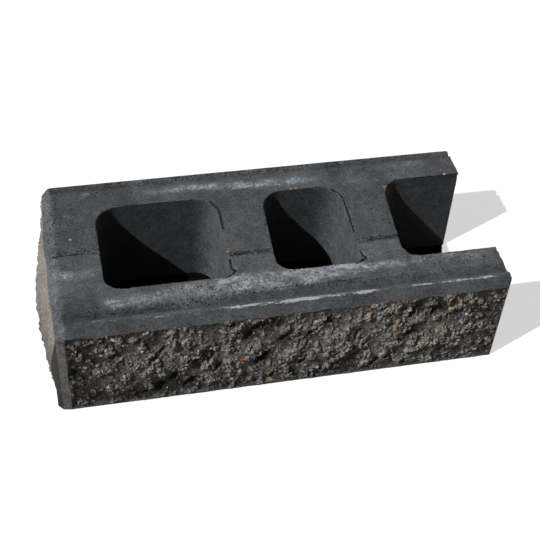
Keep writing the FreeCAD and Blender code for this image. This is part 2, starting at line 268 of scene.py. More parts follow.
def fill_zone(points, triangles, pairs, zone):
    """New triangles for one zone: an even lattice of points joined up inside its hard edges."""
    axes = FLAT_AXES[zone]
    tree = BVHTree.FromPolygons(points.tolist(), triangles.tolist())
    rim, edges = np.unique(pairs, return_inverse=True)
    edges = edges.reshape(-1, 2)
    near = kdtree.KDTree(len(rim))
    for index in rim:
        near.insert(points[index], index)
    near.balance()
    spacing = SPACING[zone]
    low, high = points[rim].min(axis=0), points[rim].max(axis=0)
    u, v = (np.arange(low[axis] + spacing / 2, high[axis], spacing) for axis in axes[:2])
    rows, columns = np.indices((len(u), len(v))).reshape(2, -1)
    flat = np.stack([u[rows], v[columns]], axis=1)
    steps = steps_at(np.column_stack([flat, np.full(len(flat), TOP)]), zone)
    keep = (rows % steps == 0) & (columns % steps == 0)
    flat, steps = flat[keep], steps[keep]
    flat += np.random.default_rng(SEED).uniform(-0.22, 0.22, flat.shape) * spacing * steps[:, None]
    inner, hit = drop_onto(tree, flat, axes)
    inner, steps = inner[hit], steps[hit]
    gap = np.array([near.find(place)[2] for place in inner])
    inner = inner[gap > 0.6 * spacing * steps]
    everything = np.vstack([points[rim], inner])
    spots = [Vector(place) for place in everything[:, axes[:2]].tolist()]
    _, _, faces, sources, _, _ = delaunay_2d_cdt(spots, edges.tolist(), [], 0, 1e-5)
    names = np.array([source[0] if source else -1 for source in sources])
    fresh = names[np.array(faces)]
    fresh = fresh[(fresh >= 0).all(axis=1)]
    fresh = faces_within(everything, fresh, edges, tree, axes)
    outward = normals_of(everything, fresh)[:, axes[2]] * (1 if axes[2] == 2 else -1)
    fresh[outward < 0] = fresh[outward < 0][:, ::-1]
    names = np.concatenate([rim, len(points) + np.arange(len(inner))])
    return inner, names[fresh]


def fill_zones(points, triangles, kinds):
    """Gives the top and the split faces an even mesh, joined to the rest along the same points."""
    zones = np.full(len(triangles), OTHER)
    rise, height = normals_of(points, triangles)[:, 2], points[triangles].mean(axis=1)[:, 2]
    zones[(kinds == MOULDED) & (rise > 0.5)] = TOP_ZONE
    zones[(rise > 0.99) & (np.abs(height - TOP + MARK_SINK) < 0.3)] = MARK_ZONE
    zones[kinds == FRONT_SPLIT] = FRONT_ZONE
    zones[kinds == LEFT_SPLIT] = LEFT_ZONE
    points, triangles, kinds, zones = split_borders(points, triangles, kinds, zones)
    pairs, place, hard = find_edges(points, triangles, zones)
    new_triangles, new_kinds = [triangles[zones == OTHER]], [kinds[zones == OTHER]]
    for zone, kind in ZONE_KINDS.items():
        own = np.unique(place[zones == zone])
        inner, fresh = fill_zone(points, triangles[zones == zone], pairs[own[hard[own]]], zone)
        points = np.vstack([points, inner])
        new_triangles.append(fresh)
        new_kinds.append(np.full(len(fresh), kind))
    triangles, kinds = np.vstack(new_triangles), np.concatenate(new_kinds)
    used, triangles = np.unique(triangles, return_inverse=True)
    return points[used], triangles.reshape(-1, 3), kinds


# Relief

SPLIT_EDGE = -292.0


def square_margin(points, triangles, kinds):
    """Gives the split front a straight left border, flush with the moulded margin beside it."""
    front = np.zeros(len(points), dtype=bool)
    front[triangles[kinds == FRONT_SPLIT].ravel()] = True
    x = points[:, 0]
    x[front & (np.abs(x - SPLIT_EDGE) < 0.65)] = SPLIT_EDGE
    beside = front & (x <= SPLIT_EDGE)
    points[beside, 1] = -143 - (x[beside] - LEFT_ARRIS) * 3 / 16
    kinds[(kinds == FRONT_SPLIT) & (x[triangles].max(axis=1) <= SPLIT_EDGE)] = MOULDED


def lump(place, size, salt):
    """Level of the lump at a place, from -0.5 to 0.5, and its height there, 0 at the rim and 1 inside."""
    gaps, seeds = noise.voronoi(place / size)
    seed = seeds[0]
    level = noise.cell(Vector((seed.x * 37.1 + salt, seed.y * 41.3, seed.z * 29.7))) - 0.5
    return level, min((gaps[1] - gaps[0]) / 0.35, 1.0)


def terrace(value, rise):
    """Turns a slope into treads one rise apart, with steep fronts between them."""
    level = value / rise
    base = math.floor(level)
    share = min(max((level - base - 0.36) / 0.28, 0.0), 1.0)
    return (base + share * share * (3 - 2 * share)) * rise


def rock_relief(along, up, salt, out):
    """Height that a split face gains where its smooth form stands out by a given amount."""
    place = Vector((along, up, salt))
    spot = place + noise.noise_vector(place / 6.0) * 2.0
    broad = out + 3.6 * noise.fractal(spot / 20, 0.7, 2.1, 3)
    level, rise = lump(spot, 10.0, 3.0)
    small_level, small_rise = lump(spot, 5.0, 11.0)
    lumps = 3.2 * level + 1.1 * rise + 2.0 * small_level + 0.9 * small_rise
    fine = 0.8 * noise.fractal(place / 3.6, 0.5, 2.0, 2)
    return 0.4 * broad + 0.6 * terrace(broad, 1.8) + lumps - 1.3 + fine - out


# Deep hollows of the split front: place along and up, half length, half width and depth
HOLLOWS = [
    (-42, 116, 20, 4.6, 3.4), (-27, 62, 17, 5.2, 3.4), (-121, 72, 9, 5.8, 3.2), (-171, 96, 19, 4.3, 3.0),
    (-169, 24, 9, 7.2, 3.4), (-127, 26, 16, 5.1, 3.4), (-98, 76, 11, 4.3, 3.0), (-283, 72, 6, 4.3, 2.6),
    (-191, 10, 14, 3.6, 2.4), (-150, 41, 9, 4.3, 2.8), (60, 122, 9, 4.3, 3.0), (41, 104, 11, 4.3, 3.0),
    (182, 116, 12, 4.3, 3.0), (215, 118, 11, 4.3, 3.0), (184, 78, 12, 3.6, 2.8), (100, 53, 12, 3.6, 2.6),
    (1, 96, 9, 5.8, 3.2), (231, 134, 8, 3.6, 2.6), (106, 90, 9, 2.8, 2.4), (-72, 130, 9, 4.0, 2.8),
    (-90, 52, 13, 3.6, 2.8), (-10, 24, 14, 3.6, 2.6), (30, 44, 13, 3.4, 2.4), (140, 24, 14, 3.4, 2.4),
]
HOLLOW_LEAN = math.radians(52)


def hollow_depth(points):
    """How deep the large hollows, which lean to the right, sink the split front at each point."""
    warp = np.array([noise.noise_vector(Vector(place) / 7.0) for place in points]) * 3.2
    total = np.zeros(len(points))
    for x, z, length, width, depth in HOLLOWS:
        u, v = points[:, 0] + warp[:, 0] - x, points[:, 2] + warp[:, 2] - z
        along = u * math.cos(HOLLOW_LEAN) + v * math.sin(HOLLOW_LEAN)
        across = v * math.cos(HOLLOW_LEAN) - u * math.sin(HOLLOW_LEAN)
        away = np.hypot(along / length, across / width)
        total = np.maximum(total, 1.35 * depth * np.clip((1.05 - away) / 0.4, 0, 1))
    return total


RELIEF = 3.0
FOOT = 2.6
FRONT_FOOT = -145.0
STRAIGHT = 14.0


def lay_relief(points, triangles, kinds):
    """Moves the points of the split faces in and out.

    Returns the moved points, how far each stands out, its nearness to the border and the kinds it touches.
    """
    count = len(points)
    touches = np.zeros((count, 5), dtype=bool)
    for kind in range(5):
        touches[triangles[kinds == kind].ravel(), kind] = True
    depth = np.zeros(count)
    rim = np.zeros(count)
    foot = np.flatnonzero(touches[:, FRONT_SPLIT] & (points[:, 2] < 0.01))
    foot = foot[np.argsort(points[foot, 0])]
    front = touches[:, FRONT_SPLIT] & (points[:, 2] < STRAIGHT)
    away = FRONT_FOOT - np.interp(points[front, 0], points[foot, 0], points[foot, 1])
    points[front, 1] += away * (1 - points[front, 2] / STRAIGHT)
    moved = points.copy()
    for kind, axis, salt, level in ((FRONT_SPLIT, 1, 3.0, -148.0), (LEFT_SPLIT, 0, 41.0, -314.0)):
        mine = np.flatnonzero(touches[:, kind])
        other = touches[:, [item for item in range(5) if item != kind]].any(axis=1)
        border = np.flatnonzero(touches[:, kind] & other & (points[:, 2] > 0.5))
        sides = border[points[border, 2] < TOP - 20]
        trees = []
        for line in (border, sides):
            tree = kdtree.KDTree(len(line))
            for index, vertex in enumerate(line):
                tree.insert(points[vertex], index)
            tree.balance()
            trees.append(tree)
        sunk = hollow_depth(points[mine]) if kind == FRONT_SPLIT else np.zeros(len(mine))
        for vertex, hollow in zip(mine, sunk):
            x, y, z = points[vertex]
            along = x if kind == FRONT_SPLIT else y
            gap, side_gap = (tree.find(points[vertex])[2] for tree in trees)
            fade = (0.35 + 0.65 * min(gap / 5.0, 1.0)) * min(side_gap / 5.0, 1.0)
            height = rock_relief(along, z, salt, level - points[vertex, axis])
            height = RELIEF * math.tanh(height / RELIEF) * (1.0 if kind == FRONT_SPLIT else 0.7) - hollow
            height *= fade
            height *= 0.12 + 0.88 * min(z / 11.0, 1.0)
            if kind == LEFT_SPLIT:
                height += FOOT * max(1 - z / 28, 0) * max((-100 - y) / 35, 0)
            moved[vertex, axis] -= height
            depth[vertex] = level - moved[vertex, axis]
        rim[mine] = [max(1 - trees[0].find(points[vertex])[2] / 2.4, 0) for vertex in mine]
        top_border = border[points[border, 2] > TOP - 20]
        slope = 9 / 11 if kind == FRONT_SPLIT else 8 / 12
        moved[top_border, 2] += (moved[top_border, axis] - points[top_border, axis]) * slope
    return moved, depth, rim, touches


def wear_edges(points, moved, triangles, kinds, touches):
    """Rounds and chips the sharp edges between moulded faces."""
    normal = normals_of(points, triangles)
    total = np.zeros_like(points)
    for corner in range(3):
        np.add.at(total, triangles[:, corner], normal)
    length = np.linalg.norm(total, axis=1)
    counts = np.zeros(len(points))
    np.add.at(counts, triangles.ravel(), 1)
    sharp = (length / np.maximum(counts, 1) < 0.93) & ~touches[:, FRONT_SPLIT] & ~touches[:, LEFT_SPLIT]
    sharp &= points[:, 2] > 1.0
    for vertex in np.flatnonzero(sharp):
        place = Vector(points[vertex])
        rough = noise.fractal(place / 5.0, 1.0, 2.0, 3)
        chip = max(noise.noise(place / 8.0 + Vector((5, 9, 2))) - 0.22, 0.0) * 5.0
        inward = total[vertex] / length[vertex]
        crumble = 1.2 if touches[vertex, CELL] else 0.5 if place.y > 130 else 1.0
        if touches[vertex, CELL]:
            rough += 0.8 * noise.noise(place / 2.4)
        moved[vertex] -= inward * max(0.5 + 0.55 * rough + chip, -0.2) * crumble


# Chips, pits and burrs seen in the photo, as place, radius and depth in millimetres
DENTS = [
    (-292, 6, 5, 1.6), (-283, 10, 3.5, 1.8), (-279, 12, 3, 1.5), (-275, 12, 3, 1.5), (-261, 7, 3.5, 1.6),
    (259, -106, 3, 1.4), (287, -132, 4, 1.6), (-287, -114, 4, 1.3), (-254, -126, 5, 1.0), (303, 96, 5, 2.2),
    (-59, 77, 4, 1.8), (-57, 60, 4.5, 1.8), (-56, 45, 4, 1.6), (-59, -42, 4, 1.6), (-53, -57, 5, 2.0),
    (126, 81, 4, 1.8), (126, 47, 4, 1.6), (127, 14, 4, 1.6), (133, -64, 5, 2.0), (281, -72, 5, 2.0),
    (-72, -68, 4, 1.6), (120, -68, 4, 1.6),
]


# Grooves behind the thin fins on the right edges of the closed cells, painted black as the fins' cast
# shadow, as points along each
FIN_SHADOW_LINES = [
    [(-62.5, 85), (-58, 78), (-54.6, 69), (-53.4, 59), (-53.8, 44), (-54.4, 26)],
    [(-55.6, -38), (-56.2, -56), (-50, -59), (-54, -64), (-62, -69.4), (-70, -71.4)],
    [(121.5, 86), (127.5, 80), (131.6, 71), (133, 60), (132.4, 38), (131, 8), (130.6, -8)],
    [(130, -48), (129.8, -57), (134.5, -62), (128, -67.5), (118, -71.4)],
]


def gap_to(points, path):
    """Distance of each point from a run of straight lines, seen from above."""
    best = np.full(len(points), np.inf)
    for start, end in zip(path[:-1], path[1:]):
        start, end = np.array(start, float), np.array(end, float)
        along = end - start
        share = np.clip(((points[:, :2] - start) @ along) / (along @ along), 0, 1)
        away = np.linalg.norm(points[:, :2] - start - share[:, None] * along, axis=1)
        best = np.minimum(best, away)
    return best


def fin_shadow_gap(points):
    """Distance of each point of the top from the nearest line of painted fin shadow."""
    gap = np.full(len(points), 99.0)
    top = np.flatnonzero((points[:, 2] > TOP - 3) & (points[:, 0] > -80) & (points[:, 0] < 140))
    gap[top] = np.min([gap_to(points[top], path) for path in FIN_SHADOW_LINES], axis=0)
    gap[top] += [1.1 * noise.noise(Vector(place) / 2.6) for place in points[top]]
    return gap


def press_dents(points, moved):
    """Presses the grooves under the painted fin shadows, the chips and the pits into the top."""
    gap = fin_shadow_gap(points)
    near = gap < 1.6
    moved[near, 2] -= 2.2 * (1 - (gap[near] / 1.6) ** 2)
    top = points[:, 2] > TOP - 6
    for x, y, radius, depth in DENTS:
        away = np.hypot(points[:, 0] - x, points[:, 1] - y) / radius
        near = top & (away < 1)
        moved[near, 2] -= depth * (1 - away[near] ** 2)


def roughen_marks(points, moved):
    """Crumbles the lines that the core bars left on the webs."""
    for left, right, middle in ((-292, -229, 5.0), (-60, 12, -28.0), (132, 208, -28.0)):
        on_mark = (points[:, 2] > TOP - 3) & (points[:, 0] > left) & (points[:, 0] < right)
        on_mark &= np.abs(points[:, 1] - middle) < 5.5
        for vertex in np.flatnonzero(on_mark):
            moved[vertex, 2] -= max(0.0, 0.3 + 1.6 * noise.noise(Vector(points[vertex]) / 3.5))


# Stones that stand out, by kind, as place and radius: along and up on the split front, x and y on the top
CREAM, OCHRE, ORANGE = (0.52, 0.44, 0.31), (0.35, 0.235, 0.115), (0.38, 0.195, 0.10)
PINK, WHITE, BUFF = (0.24, 0.16, 0.135), (0.42, 0.44, 0.45), (0.30, 0.25, 0.19)
FRONT_STONES = [
    (CREAM, [
        (44, 121, 3.6), (-213, 118, 3.4), (-216, 122, 2), (-246, 104, 3.2), (-58, 132, 3.2),
        (-43, 73, 2.6), (219, 40, 2.6), (92, 58, 2), (-164, 36, 2), (-126, 92, 2), (-230, 134, 2.6),
        (-226, 131, 1.8), (135, 141, 1.8), (-30, 137, 1.6), (143, 136, 1.8), (211, 18, 1.8),
        (263, 99, 2),
    ]),
    (BUFF, [
        (49, 119, 4.2), (24, 108, 4), (30, 112, 3), (-242, 60, 2.6), (-185, 66, 2), (-269, 83, 3),
        (-285, 105, 4), (-276, 84, 2.4), (-242, 40, 2.4), (-199, 43, 2.6), (-224, 28, 2.6),
        (-140, 127, 3), (-80, 92, 3.4), (-72, 30, 3.5), (-84, 88, 2.4), (239, 97, 3), (305, 58, 2.6),
        (-290, 25, 3), (-70, 24, 2.6), (232, 140, 4.5), (222, 141, 2.5), (165, 140, 2.5),
        (260, 141, 2.5), (-38, 100, 2.6), (4, 72, 2.2), (-258, 131, 4),
    ]),
    (OCHRE, [
        (-16, 11, 4.2), (-12, 9, 2.5), (237, 114, 3.6), (118, 125, 3.2), (152, 131, 3.6),
        (155, 129, 2.4), (57, 88, 3), (61, 92, 2), (75, 98, 3), (77, 80, 2), (228, 35, 2.6),
        (243, 56, 3), (265, 122, 3.4), (281, 116, 2.6), (-242, 117, 2.2), (-254, 87, 1.8),
        (-238, 137, 2), (-230, 112, 1.8), (89, 60, 2.4), (231, 131, 3), (215, 130, 2.4),
        (302, 128, 2.4), (250, 128, 2.4), (-118, 18, 2), (182, 38, 2.2), (200, 96, 2.2), (270, 30, 2.4),
        (288, 60, 2), (-262, 12, 2),
    ]),
    (ORANGE, [
        (208, 56, 3.8), (66, 30, 3.8), (-58, 64, 4), (-57, 58, 2.4), (-81, 78, 3), (160, 87, 3),
        (269, 56, 3.4), (-77, 76, 2), (-164, 61, 2.4), (-172, 51, 2.4), (-170, 46, 1.8), (-63, 90, 2.4),
        (231, 72, 2.6), (208, 90, 2), (243, 26, 2.2), (160, 103, 2.2), (-260, 110, 1.8), (78, 8, 2),
        (280, 63, 2.2),
    ]),
    (PINK, [
        (-3, 139, 3), (1, 141, 2.6), (-145, 98, 2.6), (-144, 103, 2.4), (224, 84, 3.2), (93, 38, 2.8),
        (20, 64, 2.6), (-135, 74, 4.5), (-128, 68, 3.4), (104, 136, 2.6), (-193, 132, 2.6),
        (-4, 110, 3.4), (6, 118, 3),
    ]),
    (WHITE, [
        (-279, 118, 1.8), (292, 48, 2), (295, 41, 1.8), (222, 67, 1.4), (-188, 136, 3),
        (-184, 139, 2.6), (-49, 139, 2.2), (206, 22, 1.4), (-62, 101, 4),
    ]),
]
TOP_STONES = [
    (ORANGE, [
        (204, 80, 4), (203, 75, 3), (300, 106, 2.2),
    ]),
    (OCHRE, [
        (62, 96, 2), (69, 96, 2), (-54.6, 5, 1.6), (-55.2, -16, 2.2), (-55.4, -22, 1.8),
        (-55.8, -32, 1.5), (192, 97, 1.8), (143, 95, 1.6), (-267, 34, 2.2),
    ]),
    (CREAM, [
        (-54.8, 0, 1.5), (303, 96, 2.2), (197, 93, 1.4), (145, 89, 1.5), (-269, 35, 1.4),
    ]),
]


def spot_field(points, on_front):
    """Nearness to the stones that stand out, 1 in the middle and 0.5 at the rim, and their colours."""
    field = np.zeros(len(points))
    color = np.zeros((len(points), 3))
    on_top = (points[:, 2] > TOP - 4) & (points[:, 1] > FRONT_ARRIS)
    for groups, mask, axes in ((FRONT_STONES, on_front, (0, 2)), (TOP_STONES, on_top, (0, 1))):
        rows = np.flatnonzero(mask)
        u_all, v_all = points[rows, axes[0]], points[rows, axes[1]]
        for tint, stones in groups:
            for u, v, radius in stones:
                close = np.flatnonzero((np.abs(u_all - u) < 2 * radius) & (np.abs(v_all - v) < 2 * radius))
                value = 1 - np.hypot(u_all[close] - u, v_all[close] - v) / radius / 2
                better = value > field[rows[close]]
                field[rows[close][better]] = value[better]
                color[rows[close][better]] = tint
    return field, color


# Rough patches of the top, where pits crowd: place, half widths and strength
ROUGH = [
    (-262, 10, 36, 4.5, 1.0), (-292, 30, 8, 40, 0.55), (-285, 90, 10, 40, 0.45), (-30, -26, 36, 4, 0.9),
    (170, -26, 40, 4, 0.8), (-150, -113, 70, 7, 1.0), (-20, -104, 90, 5, 0.8), (-150, 146, 160, 4, 0.8),
    (120, 146, 200, 4, 0.8), (-287, -100, 10, 30, 0.5), (-70, -126, 50, 5, 0.7), (205, 40, 10, 60, 0.4),
    (60, 100, 70, 5, 0.4), (-100, -88, 60, 12, 0.5), (0, -86, 110, 14, 0.4), (-247, -108, 7, 9, 0.9),
    (-62, 40, 6, 50, 0.5), (133, 40, 6, 50, 0.5), (0, 40, 30, 60, 0.4), (250, -88, 70, 16, 0.6),
    (120, -104, 120, 5, 0.7), (170, 40, 36, 60, 0.4), (-262, 60, 30, 60, 0.4),
    (-205, -112, 70, 12, 0.5), (-230, 118, 50, 16, 0.45), (60, -66, 60, 5, 0.5),
]


# Worn pale runs on the crest of the front lip
SCUFFS = [
    (-60, -130, 34, 3, 0.55), (0, -130, 40, 3.2, 0.66), (60, -130, 40, 3.2, 0.66),
    (120, -130, 26, 3.0, 0.66), (190, -129.5, 30, 2.6, 0.58), (245, -129.5, 30, 2.6, 0.58),
    (295, -129.5, 25, 3, 0.62), (-235, -130, 16, 3, 0.45), (-160, -131, 30, 3, 0.45),
]

# Black crumbled lines left by the core bars and along the groove, and painted shadow along the right rim of
# the first cell
MARKS_AND_SHADOWS = [
    (-290, 5, 14, 2.4, 0.8), (-264, 5, 16, 2.6, 0.9), (-238, 4, 8, 2.4, 0.75),
    (-38, -28, 20, 4.4, 0.85), (-4, -28, 18, 3.8, 0.68), (150, -28, 18, 3, 0.66),
    (182, -28, 24, 3.4, 0.7), (-287, -125, 8, 3, 0.75), (-120, -106, 60, 3, 0.6),
    (20, -102, 60, 2.6, 0.62), (110, -102, 50, 2.4, 0.55), (-52, 40, 2.4, 40, 0.5),
    (100, -68, 40, 2.4, 0.55), (30, -69, 20, 2.4, 0.45), (-150, 96, 60, 2, 0.35),
    (260, -68, 50, 2.4, 0.45), (-262, -113, 12, 2.4, 0.8), (-247, -112, 1.5, 7, 0.85),
    (-222, -111, 22, 2.2, 0.68), (-180, -111, 26, 2.4, 0.74), (-130, -111, 28, 2.0, 0.66),
    (-280, -115, 8, 2.0, 0.7), (-200, -118, 40, 1.6, 0.55),
]


def patch_sum(points, patches):
    """Sum of soft patches at places seen from above, from 0 to 1."""
    x, y = points[:, 0], points[:, 1]
    total = np.zeros(len(points))
    for cx, cy, rx, ry, strength in patches:
        total += strength * np.exp(-((x - cx) / rx) ** 2 - ((y - cy) / ry) ** 2)
    return np.clip(total, 0, 1)


# Tones of the moulded faces, measured against the plain top

BLOOMS = [
    (-219, -97, 13, 8, 1.0), (-205, -92, 30, 10, 0.45), (-165, -92, 28, 10, 0.6),
    (-110, -88, 40, 15, 0.85), (-50, -86, 45, 17, 1.0), (10, -85, 45, 16, 1.0), (60, -84, 45, 15, 1.0),
    (105, -81, 32, 11, 0.75), (140, -78, 30, 8, 0.5), (-150, -108, 60, 6, 0.35),
    (200, -80, 60, 10, 0.5), (270, -80, 40, 12, 0.5), (-40, -122, 60, 4, 0.35), (-130, 119, 50, 9, 0.4),
    (-70, 119, 40, 9, 0.6), (-20, 115, 40, 9, 0.65), (35, 114, 45, 9, 0.7), (85, 114, 35, 8, 0.45),
    (-120, 146, 110, 3, 0.12), (-240, 127, 8, 4, 0.6), (-271, 82, 7, 7, 0.7), (-280, -33, 8, 8, 0.8),
    (-262, -36, 28, 9, 0.55), (240, 126, 60, 12, 0.35), (150, 100, 40, 5, 0.35), (296, 0, 4, 4, 0.3),
    (-297, -60, 4, 50, 0.5), (-250, -126, 10, 3, 0.7), (300, -122, 20, 6, 0.6),
]


def step(value, edge, width):
    """A smooth step from 0 to 1 round an edge."""
    return np.clip((value - edge) / width + 0.5, 0, 1)


def tone_at(points, normal, kinds):
    """Lightness of each triangle corner against the plain moulded top, with painted light and shade on the
    cells' walls and the right-hand margin.
    """
    x, y, z = points.T
    tone = np.full(len(points), 1.0)
    on_top = normal[:, 2] > 0.5
    left_web = on_top & (x < -231)
    tone[left_web] = (0.94 + 0.34 * step(8 - y, 0, 3) * (1 - step(-y, 75, 25)))[left_web]
    front_left = on_top & (y < -85) & (x < -243)
    tone[front_left] = 0.9
    inner = on_top & (x > -65) & (x < 30) | on_top & (x > 125) & (x < 215)
    inner &= (y > CELL_FRONT) & (y < CELL_BACK)
    tone[inner] = (0.96 + 0.3 * step(-y, 25, 4))[inner]
    front_shell = on_top & (y < CELL_FRONT) & (x > -243)
    tone[front_shell] = 1.2
    groove = on_top & (y < -101) & (y > -122)
    tone[groove] *= (1 - 0.4 * step(-101 - y, 2, 4) * step(y, -120, 4))[groove]
    bevel = on_top & (y < -131)
    tone[bevel] = 0.84
    back_shell = on_top & (y > CELL_BACK)
    patches = step(x, -171, 3) - step(x, 125, 3) + 0.75 * step(x, 150, 3)
    tone[back_shell] = (0.86 + 0.26 * patches - 0.3 * step(y, 134.5, 3) * step(-y, -144, 3)
                        - 0.12 * step(y, 146, 3))[back_shell]
    tone[on_top & (x < -291)] = 1.5
    cell = kinds == CELL
    # Painted light and shade on the cells' walls: lighter where they face left towards the sun, darker
    # facing front, darkest facing right into shadow
    facing_left = np.clip(-normal[:, 0], 0, 1) ** 2
    facing_front = np.clip(-normal[:, 1], 0, 1) ** 2
    facing_right = np.clip(normal[:, 0], 0, 1)
    tone[cell] = (1.0 + 0.26 * facing_left - 0.42 * facing_front - 0.6 * facing_right)[cell]
    upright = (np.abs(normal[:, 2]) < 0.3) & ~cell
    tone[upright] = 1.62
    tone[upright & (normal[:, 0] < -0.7) & (normal[:, 0] > -0.98) & (y < 0)] = 0.22
    # Painted shade: the right-hand margin, turned away from the sun, is made nearly black
    tone[upright & (normal[:, 0] > 0.5) & (normal[:, 1] < -0.3)] = 0.12
    return tone


def shared_normals(points, triangles, kinds):
    """Normals at triangle corners, smoothed over the cells' walls and flat elsewhere."""
    flat = normals_of(points, triangles)
    total = np.zeros_like(points)
    walls = triangles[kinds == CELL]
    for corner in range(3):
        np.add.at(total, walls[:, corner], flat[kinds == CELL])
    total /= np.maximum(np.linalg.norm(total, axis=1), 1e-9)[:, None]
    normal = np.repeat(flat, 3, axis=0)
    smooth = np.repeat(kinds == CELL, 3)
    normal[smooth] = total[triangles.ravel()[smooth]]
    return normal


def make_piece():
    """Builds the visual block and returns it."""
    points, triangles = read_block()
    kinds = sort_faces(points, triangles)
    points, triangles, kinds = fill_zones(points, triangles, kinds)
    square_margin(points, triangles, kinds)
    moved, depth, rim, touches = lay_relief(points, triangles, kinds)
    wear_edges(points, moved, triangles, kinds, touches)
    press_dents(points, moved)
    roughen_marks(points, moved)
    mesh = bpy.data.meshes.new("split_block")
    mesh.from_pydata((moved * MM).tolist(), [], triangles.tolist())
    rock = (kinds == FRONT_SPLIT) | (kinds == LEFT_SPLIT)
    mesh.polygons.foreach_set("use_smooth", ~rock)
    mesh.polygons.foreach_set("material_index", rock.astype(np.int32))
    corners = triangles.ravel()
    normal = shared_normals(points, triangles, kinds)
    corner_kinds = np.repeat(kinds, 3)
    spots = points[corners]
    up_facing = normal[:, 2] > 0.5
    tone = tone_at(spots, normal, corner_kinds)
    # Painted shadow: the top goes black along the lines behind the cells' fins
    dark = np.clip((fin_shadow_gap(points) - 0.8) / 1.0, 0.05, 1)[corners]
    tone = np.where(up_facing, tone * dark, tone)
    bloom = patch_sum(points, BLOOMS)[corners] * up_facing
    rough = patch_sum(points, ROUGH)[corners] * up_facing
    scuff = patch_sum(points, SCUFFS)[corners] * up_facing
    # Painted shadow: the lines behind the fins join the black marks
    mark_and_shadow = np.clip(patch_sum(points, MARKS_AND_SHADOWS) + np.exp(-(fin_shadow_gap(points) / 1.8) ** 2), 0, 1)
    mark_and_shadow = mark_and_shadow[corners] * up_facing
    warm = (np.abs(normal[:, 2]) < 0.3) & (corner_kinds == MOULDED)
    levels = {
        "tone": tone, "bloom": bloom, "rough": rough, "scuff": scuff, "mark_and_shadow": mark_and_shadow, "warm": warm,
        "hollow": depth[corners], "rim": rim[corners], "left_side": corner_kinds == LEFT_SPLIT,
    }
    for name, values in levels.items():
        layer = mesh.attributes.new(name, "FLOAT", "CORNER")
        layer.data.foreach_set("value", values.astype(np.float32))
    field, tint = spot_field(points, touches[:, FRONT_SPLIT])
    tint = tint[corners]
    layer = mesh.attributes.new("stone", "FLOAT", "CORNER")
    layer.data.foreach_set("value", field[corners].astype(np.float32))
    layer = mesh.attributes.new("stone_color", "FLOAT_COLOR", "CORNER")
    rgba = np.hstack([tint, np.ones((len(tint), 1))])
    layer.data.foreach_set("color", rgba.astype(np.float32).ravel())
    mesh.update()
    mesh.set_sharp_from_angle(angle=math.radians(38))
    piece = bpy.data.objects.new("split_block", mesh)
    bpy.context.scene.collection.objects.link(piece)
    print("triangles", len(triangles), {kind: int((kinds == kind).sum()) for kind in range(5)})
    return piece


# Materials

